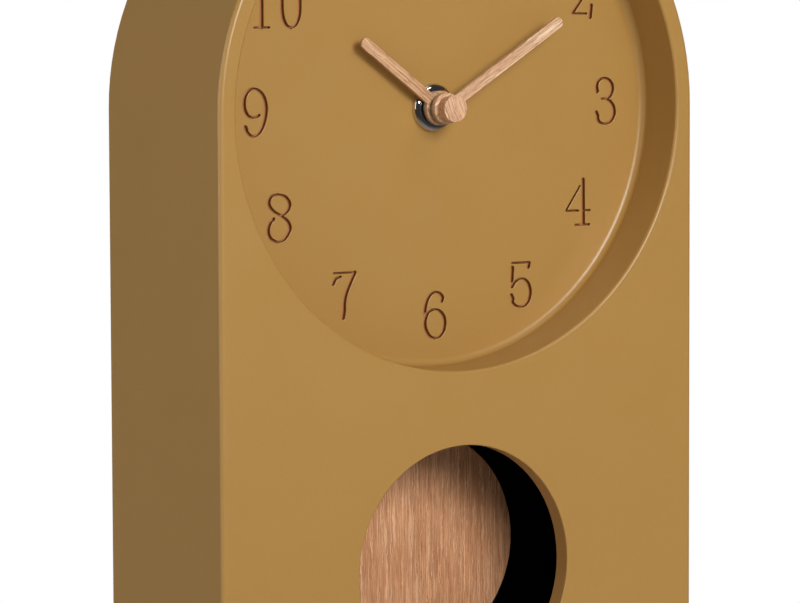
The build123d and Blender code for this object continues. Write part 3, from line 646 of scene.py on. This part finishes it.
def turned_metal(name, tone, rough, pitch, strength, centre=(0, 0, 0.21)):
    """Metal with lathe rings: a ripple of the radius, broken by noise, in the gloss and in the relief."""
    metal = Recipe(name, Metallic=1.0)
    ripple = rings(metal, centre, pitch)
    patch = metal.noise(metal.place(), 700.0, 3.0)
    metal.give("Base Color", metal.blend(patch, tone, tuple(0.88 * c for c in tone[:3]) + (1.0,)))
    metal.give("Roughness", metal.span(patch, 0.3, 0.7, rough, rough * 1.6))
    metal.relief(metal.maths("MULTIPLY", ripple, patch), strength, 0.01 * MM)
    return metal


def drawn_metal(name, tone, rough, stretch, scale=2500.0):
    """Rolled or drawn metal: a noise stretched along the strip, in colour, gloss and relief."""
    metal = Recipe(name, Metallic=1.0)
    lines = metal.noise(metal.place(stretch), scale, 3.0, 0.6)
    metal.give("Base Color", metal.blend(lines, tone, tuple(0.8 * c for c in tone[:3]) + (1.0,)))
    metal.give("Roughness", metal.span(lines, 0.3, 0.7, rough, rough + 0.15))
    metal.relief(lines, 0.1, 0.01 * MM)
    return metal


chrome = turned_metal("polished_chrome", srgb(224, 218, 212), 0.05, 0.8 * MM, 0.02)
nut.data.materials.append(chrome.material)
print(chrome.material.name, "on", nut.name)
dress(turned_metal("turned_aluminium", srgb(176, 180, 188), 0.28, 0.18 * MM, 0.15),
      "hour_collet", "minute_collet")
dress(drawn_metal("drawn_aluminium", srgb(190, 192, 196), 0.30, (1, 1, 0.03)), "pendulum_rod", "bob_clip")
dress(drawn_metal("bright_steel", srgb(170, 170, 172), 0.25, (0.05, 1, 1)),
      "battery_contacts", "stator", "pivot_pin")
dress(turned_metal("nickel_magnet", srgb(150, 148, 144), 0.22, 0.3 * MM, 0.05, (0.0011, 0, PULSE_HEIGHT)),
      "arm_magnet")
dress(turned_metal("turned_brass", srgb(204, 166, 92), 0.24, 0.2 * MM, 0.12), "minute_arbor")
dress(drawn_metal("blackened_screws", srgb(46, 45, 46), 0.42, (1, 1, 1), 1800.0), "cover_screws")

# %% [markdown]
# The plastics differ mostly in their skin. The back cover, the movement's two halves and the knob are black
# with the fine grain of an etched mould. The wheels and the lever are smooth white plastic with a trace of
# warmth. The pads and the washer are soft black rubber, dull and a little dusty.

# %% Plastics and rubber


def moulded(name, tone, worn_tone, rough, grain, relief, gloss=0.4):
    """Moulded plastic or rubber: cloudy tone, grained gloss and a grained relief."""
    plastic = Recipe(name, Specular_IOR_Level=gloss)
    where = plastic.place()
    etched = plastic.noise(where, grain, 3.0, 0.6)
    plastic.give("Base Color", plastic.blend(plastic.noise(where, 35.0, 3.0), tone, worn_tone))
    plastic.give("Roughness", plastic.span(etched, 0.3, 0.7, rough - 0.06, rough + 0.06))
    plastic.relief(etched, relief, 0.03 * MM)
    return plastic


dress(moulded("grained_black_cover", srgb(26, 25, 25), srgb(33, 32, 31), 0.55, 2200.0, 0.5), "back_cover")
dress(moulded("smooth_black_movement", srgb(22, 22, 23), srgb(28, 28, 28), 0.42, 1500.0, 0.2),
      "movement_case", "movement_lid", "setting_knob")
dress(moulded("white_wheels", srgb(232, 229, 218), srgb(224, 220, 206), 0.38, 1200.0, 0.1),
      "hour_wheel", "setting_wheel", "third_wheel", "pendulum_arm")
dress(moulded("black_rubber", srgb(30, 30, 30), srgb(44, 43, 42), 0.8, 1600.0, 0.5, 0.25),
      "base_pads", "sealing_washer")

# %% [markdown]
# The rest sits in the movement. Coils are wound from enamelled copper, so the turns show as fine ridges,
# along the axis on the motor's coil and ring by ring on the flat pulse coil, with painted shade between the
# turns. The board, its sealed chip and its crystal can are one solid, told apart by depth and height. The
# cell has a plain dark sleeve with a copper band, and bright ends.

# %% Coils, board and cell
COPPER, COPPER_PAINTED_SHADE = srgb(176, 98, 52), srgb(112, 52, 26)
WIRE_PITCH = 0.3 * MM
WINDING_FROM, WINDING_TO = -23.6 * MM, -11.4 * MM
BOARD_FACE, CHIP_ABOVE = 27.75 * MM, 180 * MM
SLEEVE_FROM, SLEEVE_TO, BAND_FROM = -24.2 * MM, 24.0 * MM, 11.0 * MM


def between(finish, value, low, high):
    """One where a value lies between two limits, nought elsewhere."""
    over = finish.maths("GREATER_THAN", value, low)
    return finish.maths("MULTIPLY", over, finish.maths("LESS_THAN", value, high))


motor_coil = Recipe("motor_coil", Roughness=0.35)
along_coil = motor_coil.add("SeparateXYZ", {0: motor_coil.place()}).outputs["X"]
turns = motor_coil.maths("SINE", motor_coil.maths("MULTIPLY", along_coil, 2 * np.pi / WIRE_PITCH))
winding = between(motor_coil, along_coil, WINDING_FROM, WINDING_TO)
# Between the turns the copper falls into a painted shade.
copper_turns_and_shade = motor_coil.blend(motor_coil.span(turns, -1.0, 1.0), COPPER_PAINTED_SHADE, COPPER)
motor_coil.give("Base Color", motor_coil.blend(winding, srgb(225, 220, 205), copper_turns_and_shade))
motor_coil.give("Metallic", motor_coil.maths("MULTIPLY", winding, 0.8))
motor_coil.relief(motor_coil.maths("MULTIPLY", turns, winding), 0.4, 0.05 * MM)
dress(motor_coil, "drive_coil")

flat_coil = Recipe("flat_coil", Roughness=0.35, Metallic=0.8)
loops = rings(flat_coil, (0, 0, PULSE_HEIGHT), WIRE_PITCH)
# Ring by ring the copper falls into a painted shade between the turns.
flat_coil.give("Base Color", flat_coil.blend(flat_coil.span(loops, -1.0, 1.0), COPPER_PAINTED_SHADE, COPPER))
flat_coil.relief(loops, 0.4, 0.05 * MM)
dress(flat_coil, "pulse_coil")

board = Recipe("green_board", Specular_IOR_Level=0.5)
spot = board.add("SeparateXYZ", {0: board.place()}).outputs
raised = board.maths("GREATER_THAN", spot["Y"], dial_axis[1] + BOARD_FACE)
upper = board.maths("GREATER_THAN", spot["Z"], CHIP_ABOVE)
tracks = board.span(board.noise(board.place(), 420.0, 0.0), 0.50, 0.54)
green = board.blend(tracks, srgb(22, 82, 46), srgb(40, 112, 62))
fitted = board.blend(upper, srgb(196, 196, 192), srgb(14, 14, 14))
board.give("Base Color", board.blend(raised, green, fitted))
board.give("Metallic", board.maths("MULTIPLY", raised, board.maths("SUBTRACT", 1.0, upper)))
board.give("Roughness", board.span(board.noise(board.place(), 900.0), 0.3, 0.7, 0.28, 0.42))
dress(board, "circuit_board")

cell = Recipe("cell_sleeve", Specular_IOR_Level=0.5)
along_cell = cell.add("SeparateXYZ", {0: cell.place()}).outputs["X"]
sleeve = between(cell, along_cell, SLEEVE_FROM, SLEEVE_TO)
band = cell.maths("GREATER_THAN", along_cell, BAND_FROM)
paint = cell.blend(band, srgb(34, 37, 44), srgb(188, 128, 72))
cell.give("Base Color", cell.blend(sleeve, srgb(190, 190, 190), paint))
cell.give("Metallic", cell.maths("SUBTRACT", 1.0, cell.maths("MULTIPLY", sleeve, 0.6)))
cell.give("Roughness", cell.span(cell.noise(cell.place((1, 1, 0.2)), 800.0), 0.3, 0.7, 0.25, 0.4))
dress(cell, "battery")

# %% [markdown]
# The studio is a pale floor and soft boxes. The large key light hangs almost straight in front, 20 degrees
# up: the shadow of the hour hand lies close beside the hand and the shade of the window's top reaches down
# the disc, and both give that direction. A small box higher in front draws the bright lines on the rounded
# lip and foot of the dial, and one overhead lights the bottom of the recess. A weak one far round to the left
# reaches the right wall of the recess and is mirrored in the nut. A soft box behind on the left reaches the
# side of the case and nothing inside the recess, and one behind on the right lights the back.
# The floor and the sky turn to plain white behind the clock for the camera. Metal mirrors a dimmer backdrop
# and a dim table below, and light that bounces finds a greyer floor, because a white one would fill the
# shadows.

# %% Floor
AMBIENT, IN_FRONT, BEHIND, BELOW = 0.002, 0.04, 0.18, 0.25
FADE_FROM, FADE_TO = 0.14, 0.30
MIRROR_FROM, MIRROR_TO = -0.05, 0.15
BOUNCE_GREY = srgb(210, 210, 209)
round_floor = np.linspace(0.0, 2 * np.pi, 97)[:-1]
floor_rings = np.array([0.0, 0.15, 0.3, 0.6, 1.2, 3.0])
floor_grid = np.stack([np.outer(floor_rings, np.cos(round_floor)), np.outer(floor_rings, np.sin(round_floor)),
                       np.zeros((len(floor_rings), len(round_floor)))], -1)
floor = bpy.data.objects.new("floor", mesh_from_grid("floor", floor_grid))
bpy.context.scene.collection.objects.link(floor)
floor.visible_glossy = False

paper = Recipe("paper_floor", Roughness=0.9, Specular_IOR_Level=0.1)
ground = paper.place()
sheet = paper.blend(paper.noise(ground, 900.0, 3.0), srgb(238, 238, 237), srgb(244, 244, 243))
away = paper.span(paper.length(ground), FADE_FROM, FADE_TO)
ray = paper.add("LightPath").outputs
paper.give("Base Color", paper.blend(ray["Is Camera Ray"], BOUNCE_GREY, sheet))
mirrored = paper.span(paper.add("SeparateXYZ", {0: ground}).outputs["Y"], MIRROR_FROM, MIRROR_TO, 0.0, BEHIND)
seen = paper.maths("ADD", ray["Is Camera Ray"], paper.maths("MULTIPLY", ray["Is Glossy Ray"], mirrored))
seen = paper.maths("ADD", seen, ray["Is Transmission Ray"], clamp=True)
white = paper.add("Emission", {"Color": (1, 1, 1, 1), "Strength": 1.0}).outputs[0]
faded = paper.add("MixShader", {0: paper.maths("MULTIPLY", seen, away), 1: paper.shader.outputs[0], 2: white})
paper.tree.links.new(faded.outputs[0], paper.tree.nodes["Material Output"].inputs["Surface"])
floor.data.materials.append(paper.material)
print("floor reach", floor_rings[-1], "m")

# %% Sky
TURNS_WITHIN = 0.15
TABLE_FROM, TABLE_TO = -0.4, -0.9
studio = bpy.data.worlds.new("studio")
studio.use_nodes = True
bpy.context.scene.world = studio
sky = Graph(studio.node_tree)
sky_ray = sky.add("LightPath").outputs
aim_of_ray = sky.add("SeparateXYZ", {0: sky.add("TexCoord").outputs["Generated"]}).outputs
backdrop = sky.span(aim_of_ray["Y"], -TURNS_WITHIN, TURNS_WITHIN, IN_FRONT, BEHIND)
table = sky.span(aim_of_ray["Z"], TABLE_FROM, TABLE_TO, 0.0, BELOW)
in_mirror = sky.maths("MULTIPLY", sky_ray["Is Glossy Ray"], sky.maths("MAXIMUM", backdrop, table))
direct = sky.maths("ADD", sky_ray["Is Camera Ray"], sky_ray["Is Transmission Ray"], clamp=True)
strength = sky.span(sky.maths("MAXIMUM", in_mirror, direct), 0.0, 1.0, AMBIENT, 1.0)
glow = studio.node_tree.nodes["Background"]
glow.inputs["Color"].default_value = (1, 1, 1, 1)
sky.tree.links.new(strength, glow.inputs["Strength"])
print("ambient light", AMBIENT)

# %% Soft boxes
AIM = Vector((0.0, -0.036, 0.15))


def soft_box(name, direction, size, power):
    """A rectangle of light that faces the clock.

    Its direction is degrees to the right of the clock's front, degrees up, and distance from the clock.
    """
    lamp = bpy.data.lights.new(name, "AREA")
    lamp.shape, lamp.energy = "RECTANGLE", power
    lamp.size, lamp.size_y = size
    box = bpy.data.objects.new(name, lamp)
    bpy.context.scene.collection.objects.link(box)
    across, up = np.radians(direction[:2])
    outward = Vector((np.sin(across) * np.cos(up), -np.cos(across) * np.cos(up), np.sin(up)))
    box.location = AIM + direction[2] * outward
    box.rotation_euler = (-outward).to_track_quat("-Z", "Y").to_euler()
    print(name, "power", power)


soft_box("key_front", (-3.0, 20.5, 2.4), (1.14, 0.86), 47.2)
soft_box("high_front", (18, 46, 1.5), (0.36, 0.26), 1.5)
soft_box("overhead", (-10, 82, 1.5), (0.6, 0.4), 2.0)
soft_box("left_front", (-74, 10, 1.5), (0.6, 0.7), 1.9)
soft_box("left_rear", (-108, 10, 1.5), (0.8, 0.9), 5.3)
soft_box("right_rear", (140, 35, 1.6), (0.9, 0.9), 13.0)
bpy.context.scene.view_settings.view_transform = "Standard"
